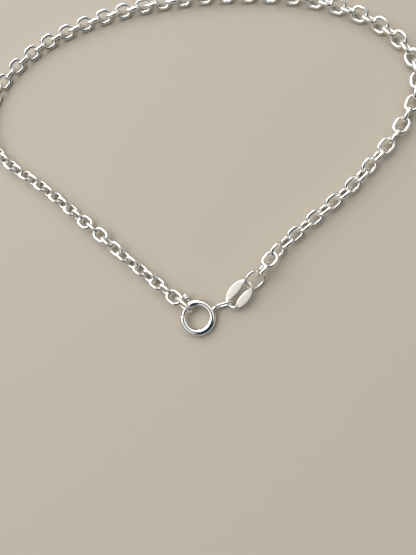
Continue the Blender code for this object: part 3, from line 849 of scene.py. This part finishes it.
def haze_group():
    """Cloudy handling haze, as a roughness between two given ones, rougher in scratches."""
    name = "handling_haze"
    if name in bpy.data.node_groups:
        return bpy.data.node_groups[name]
    group, given, made = new_group(
        name,
        [("Vector", "NodeSocketVector", None), ("Scale", "NodeSocketFloat", 500.0),
         ("Low", "NodeSocketFloat", 0.06), ("High", "NodeSocketFloat", 0.18),
         ("Scratches", "NodeSocketFloat", 0.0)],
        [("Value", "NodeSocketFloat")],
    )
    nodes, links = group.nodes, group.links
    noise = nodes.new("ShaderNodeTexNoise")
    noise.inputs["Detail"].default_value = 4.0
    cloud = nodes.new("ShaderNodeMapRange")
    cloud.inputs["From Min"].default_value = 0.35
    cloud.inputs["From Max"].default_value = 0.7
    links.new(given.outputs["Vector"], noise.inputs["Vector"])
    links.new(given.outputs["Scale"], noise.inputs["Scale"])
    links.new(noise.outputs["Fac"], cloud.inputs["Value"])
    links.new(given.outputs["Low"], cloud.inputs["To Min"])
    links.new(given.outputs["High"], cloud.inputs["To Max"])
    roughen = nodes.new("ShaderNodeMath")
    roughen.operation = "MULTIPLY_ADD"
    roughen.inputs[1].default_value = 0.12
    links.new(given.outputs["Scratches"], roughen.inputs[0])
    links.new(cloud.outputs["Result"], roughen.inputs[2])
    links.new(roughen.outputs[0], made.inputs["Value"])
    return group


def tarnish_group():
    """Silver that is a little warmer and darker in random patches."""
    name = "light_tarnish"
    if name in bpy.data.node_groups:
        return bpy.data.node_groups[name]
    group, given, made = new_group(
        name,
        [("Vector", "NodeSocketVector", None), ("Scale", "NodeSocketFloat", 900.0),
         ("Silver", "NodeSocketColor", None), ("Tarnish", "NodeSocketColor", None),
         ("Amount", "NodeSocketFloat", 0.3)],
        [("Color", "NodeSocketColor")],
    )
    nodes, links = group.nodes, group.links
    noise = nodes.new("ShaderNodeTexNoise")
    noise.inputs["Detail"].default_value = 3.0
    patch = nodes.new("ShaderNodeMapRange")
    patch.interpolation_type = "SMOOTHSTEP"
    patch.inputs["From Min"].default_value = 0.5
    patch.inputs["From Max"].default_value = 0.8
    links.new(given.outputs["Vector"], noise.inputs["Vector"])
    links.new(given.outputs["Scale"], noise.inputs["Scale"])
    links.new(noise.outputs["Fac"], patch.inputs["Value"])
    links.new(given.outputs["Amount"], patch.inputs["To Max"])
    mix = nodes.new("ShaderNodeMix")
    mix.data_type = "RGBA"
    links.new(patch.outputs["Result"], mix.inputs["Factor"])
    links.new(given.outputs["Silver"], mix.inputs["A"])
    links.new(given.outputs["Tarnish"], mix.inputs["B"])
    links.new(mix.outputs["Result"], made.inputs["Color"])
    return group


def place_group(nodes, group, **values):
    node = nodes.new("ShaderNodeGroup")
    node.node_tree = group
    for label, value in values.items():
        node.inputs[label].default_value = value
    return node


def silver_material(name, finish, base, low, high, scratch_share, tarnish_share):
    """Metal whose colour, roughness and fine scratches come from the shared groups.

    Its name differs from those of the frame's own materials, which are already loaded.
    """
    if name in bpy.data.materials:
        return bpy.data.materials[name]
    material = bpy.data.materials.new(name)
    material.use_nodes = True
    nodes, links = material.node_tree.nodes, material.node_tree.links
    shader = nodes["Principled BSDF"]
    shader.inputs["Metallic"].default_value = 1.0
    place = nodes.new("ShaderNodeTexCoord").outputs["Object"]
    scratches = place_group(nodes, scratch_group(), Scale=1 / finish.scratch_size)
    haze = place_group(nodes, haze_group(), Scale=HAZE_SCALE, Low=low, High=high)
    tarnish = place_group(nodes, tarnish_group(), Scale=TARNISH_SCALE, Silver=(*base, 1.0),
                          Tarnish=(*finish.tarnish, 1.0),
                          Amount=finish.tarnish_amount * tarnish_share)
    for node in (scratches, haze, tarnish):
        links.new(place, node.inputs["Vector"])
    links.new(scratches.outputs["Mask"], haze.inputs["Scratches"])
    links.new(haze.outputs["Value"], shader.inputs["Roughness"])
    links.new(tarnish.outputs["Color"], shader.inputs["Base Color"])
    bump = nodes.new("ShaderNodeBump")
    bump.inputs["Strength"].default_value = scratch_share
    bump.inputs["Distance"].default_value = finish.scratch_depth
    links.new(scratches.outputs["Height"], bump.inputs["Height"])
    links.new(bump.outputs["Normal"], shader.inputs["Normal"])
    return material


def tumbled_silver(finish):
    """Silver of the chain and small rings, tumbled bright."""
    return silver_material("tumbled_silver", finish, finish.silver, low=finish.polish * 0.6,
                           high=finish.polish * 1.3, scratch_share=0.5, tarnish_share=1.0)


def mirror_silver(finish):
    """Silver of the clasp, polished closer to a mirror than the chain."""
    return silver_material("mirror_silver", finish, finish.silver, low=finish.polish * 0.45,
                           high=finish.polish * 0.9, scratch_share=0.25, tarnish_share=0.6)


def frosted_silver(finish):
    """Silver of the tag: leaves frosted by the press, their rims and the wire's ends polished."""
    name = "frosted_silver"
    if name in bpy.data.materials:
        return bpy.data.materials[name]
    material = silver_material(name, finish, finish.satin, low=finish.frost * 0.8,
                               high=finish.frost * 1.15, scratch_share=1.0, tarnish_share=0.5)
    nodes, links = material.node_tree.nodes, material.node_tree.links
    shader = nodes["Principled BSDF"]
    frosted = nodes.new("ShaderNodeAttribute")
    frosted.attribute_name = "frosted"
    for label, kind, polished in (("Base Color", "RGBA", (*finish.silver, 1.0)),
                                  ("Roughness", "FLOAT", finish.polish)):
        pressed = shader.inputs[label].links[0].from_socket
        mix = nodes.new("ShaderNodeMix")
        mix.data_type = kind
        mix.inputs["A"].default_value = polished
        links.new(pressed, mix.inputs["B"])
        links.new(frosted.outputs["Fac"], mix.inputs["Factor"])
        links.new(mix.outputs["Result"], shader.inputs[label])
    return material


def make_floor(stage):
    """Wide pale floor under the anklet."""
    bm = bmesh.new()
    bmesh.ops.create_grid(bm, x_segments=1, y_segments=1, size=1.0)
    mesh = bpy.data.meshes.new("floor")
    bm.to_mesh(mesh)
    bm.free()
    material = bpy.data.materials.new("pale_floor")
    material.use_nodes = True
    shader = material.node_tree.nodes["Principled BSDF"]
    shader.inputs["Base Color"].default_value = (*stage.floor, 1.0)
    shader.inputs["Roughness"].default_value = 0.75
    mesh.materials.append(material)
    floor = bpy.data.objects.new("floor", mesh)
    bpy.context.scene.collection.objects.link(floor)


def sky_mask(nodes, links, area):
    """Mask over the sky that grows from 0 to 1 between two angles from a direction."""
    towards, clear, full = area
    place = nodes.new("ShaderNodeTexCoord")
    dot = nodes.new("ShaderNodeVectorMath")
    dot.operation = "DOT_PRODUCT"
    dot.inputs[1].default_value = Vector(towards).normalized()
    grow = nodes.new("ShaderNodeMapRange")
    grow.interpolation_type = "SMOOTHSTEP"
    grow.inputs["From Min"].default_value = math.cos(math.radians(clear))
    grow.inputs["From Max"].default_value = math.cos(math.radians(full))
    links.new(place.outputs["Generated"], dot.inputs[0])
    links.new(dot.outputs["Value"], grow.inputs["Value"])
    return grow.outputs["Result"]


def make_sky(stage):
    """Soft light with a dark area overhead, one on the clasp's side and a dark band low down.

    The clasp's tube and the wires mirror these as dark lines.
    """
    world = bpy.data.worlds.new("soft_studio")
    bpy.context.scene.world = world
    world.use_nodes = True
    nodes, links = world.node_tree.nodes, world.node_tree.links
    background = nodes["Background"]
    background.inputs["Strength"].default_value = stage.sky_strength
    overhead = sky_mask(nodes, links, DARK_OVERHEAD)
    front = sky_mask(nodes, links, DARK_FRONT)
    dark = nodes.new("ShaderNodeMath")
    dark.operation = "MAXIMUM"
    links.new(overhead, dark.inputs[0])
    links.new(front, dark.inputs[1])
    low = sky_mask(nodes, links, DARK_LOW)
    sky = None
    for mask, shade in ((low, stage.horizon), (dark.outputs[0], stage.shade)):
        mix = nodes.new("ShaderNodeMix")
        mix.data_type = "RGBA"
        if sky is None:
            mix.inputs["A"].default_value = (*stage.sky, 1.0)
        else:
            links.new(sky, mix.inputs["A"])
        mix.inputs["B"].default_value = (*shade, 1.0)
        links.new(mask, mix.inputs["Factor"])
        sky = mix.outputs["Result"]
    links.new(sky, background.inputs["Color"])


def make_lights(stage):
    """One soft key light from behind the anklet on the left, for gentle shadows."""
    light = bpy.data.lights.new("key_light", "AREA")
    light.energy = stage.key_power
    light.size = KEY_LIGHT_SIZE
    lamp = bpy.data.objects.new("key_light", light)
    bpy.context.scene.collection.objects.link(lamp)
    away = Vector(KEY_LIGHT_PLACE)
    lamp.location = away
    lamp.rotation_euler = away.to_track_quat("Z", "Y").to_euler()


def make_camera():
    """Camera over the clasp's side of the anklet, leaning a little from straight above.

    It takes the image to be 416 by 555 pixels.
    """
    focal_pixels = 450.0
    long_side = 555.0
    pixels_per_mm = 5.3
    aim = Vector((CLASP_JOINT["pos_m"][0], CLASP_JOINT["pos_m"][1], 0.0))
    aim += Vector((1.98, 7.49, 1.0)) * MM
    back = Vector((math.tan(math.radians(12.0)), -math.tan(math.radians(6.0)), 1.0)).normalized()
    camera = bpy.data.cameras.new("camera")
    camera.sensor_width = 36.0
    camera.lens = camera.sensor_width * focal_pixels / long_side
    camera.clip_start = 1 * MM
    viewer = bpy.data.objects.new("camera", camera)
    bpy.context.scene.collection.objects.link(viewer)
    right = Vector((0.0, 1.0, 0.0)).cross(back).normalized()
    turn = Matrix((right, back.cross(right), back)).transposed().to_4x4()
    distance = focal_pixels / pixels_per_mm * MM
    viewer.matrix_world = Matrix.Translation(aim + back * distance) @ turn
    bpy.context.scene.camera = viewer


class ANKLET_OT_stage(Operator):
    """Make the floor, the light and the camera"""

    bl_idname = "anklet.stage"
    bl_label = "Stage"

    def execute(self, context):
        stage = context.scene.anklet_stage
        context.scene.view_settings.view_transform = "Standard"
        make_floor(stage)
        make_sky(stage)
        make_lights(stage)
        make_camera()
        return {"FINISHED"}


class ANKLET_PT_panel(Panel):
    """Lists the anklet's pieces and their sizes"""

    bl_idname = "ANKLET_PT_panel"
    bl_label = "Chain anklet"
    bl_space_type = "VIEW_3D"
    bl_region_type = "UI"
    bl_category = "Anklet"

    def draw(self, context):
        for operator in OPERATORS:
            self.layout.operator(operator.bl_idname)
        for name in SETTINGS:
            group = getattr(context.scene, name)
            box = self.layout.box()
            for key in group.__annotations__:
                box.prop(group, key)


SETTINGS = {
    "anklet_stage": AnkletStage,
    "anklet_chain": AnkletChain,
    "anklet_clasp": AnkletClasp,
    "anklet_fittings": AnkletFittings,
    "anklet_finish": AnkletFinish,
}
OPERATORS = [
    ANKLET_OT_stage, ANKLET_OT_chain, ANKLET_OT_catch_link, ANKLET_OT_clasp_ring,
    ANKLET_OT_clasp_bolt, ANKLET_OT_end_tag, ANKLET_OT_jump_ring,
]


def register():
    for group in SETTINGS.values():
        bpy.utils.register_class(group)
    for operator in OPERATORS:
        bpy.utils.register_class(operator)
    bpy.utils.register_class(ANKLET_PT_panel)
    for name, group in SETTINGS.items():
        setattr(bpy.types.Scene, name, PointerProperty(type=group))


def unregister():
    for name in SETTINGS:
        delattr(bpy.types.Scene, name)
    bpy.utils.unregister_class(ANKLET_PT_panel)
    for operator in reversed(OPERATORS):
        bpy.utils.unregister_class(operator)
    for group in SETTINGS.values():
        bpy.utils.unregister_class(group)


def main():
    register()
    bpy.ops.anklet.stage()
    bpy.ops.anklet.chain()
    bpy.ops.anklet.catch_link()
    bpy.ops.anklet.clasp_ring()
    bpy.ops.anklet.clasp_bolt()
    bpy.ops.anklet.end_tag()
    bpy.ops.anklet.jump_ring()


if __name__ == "__main__":
    main()
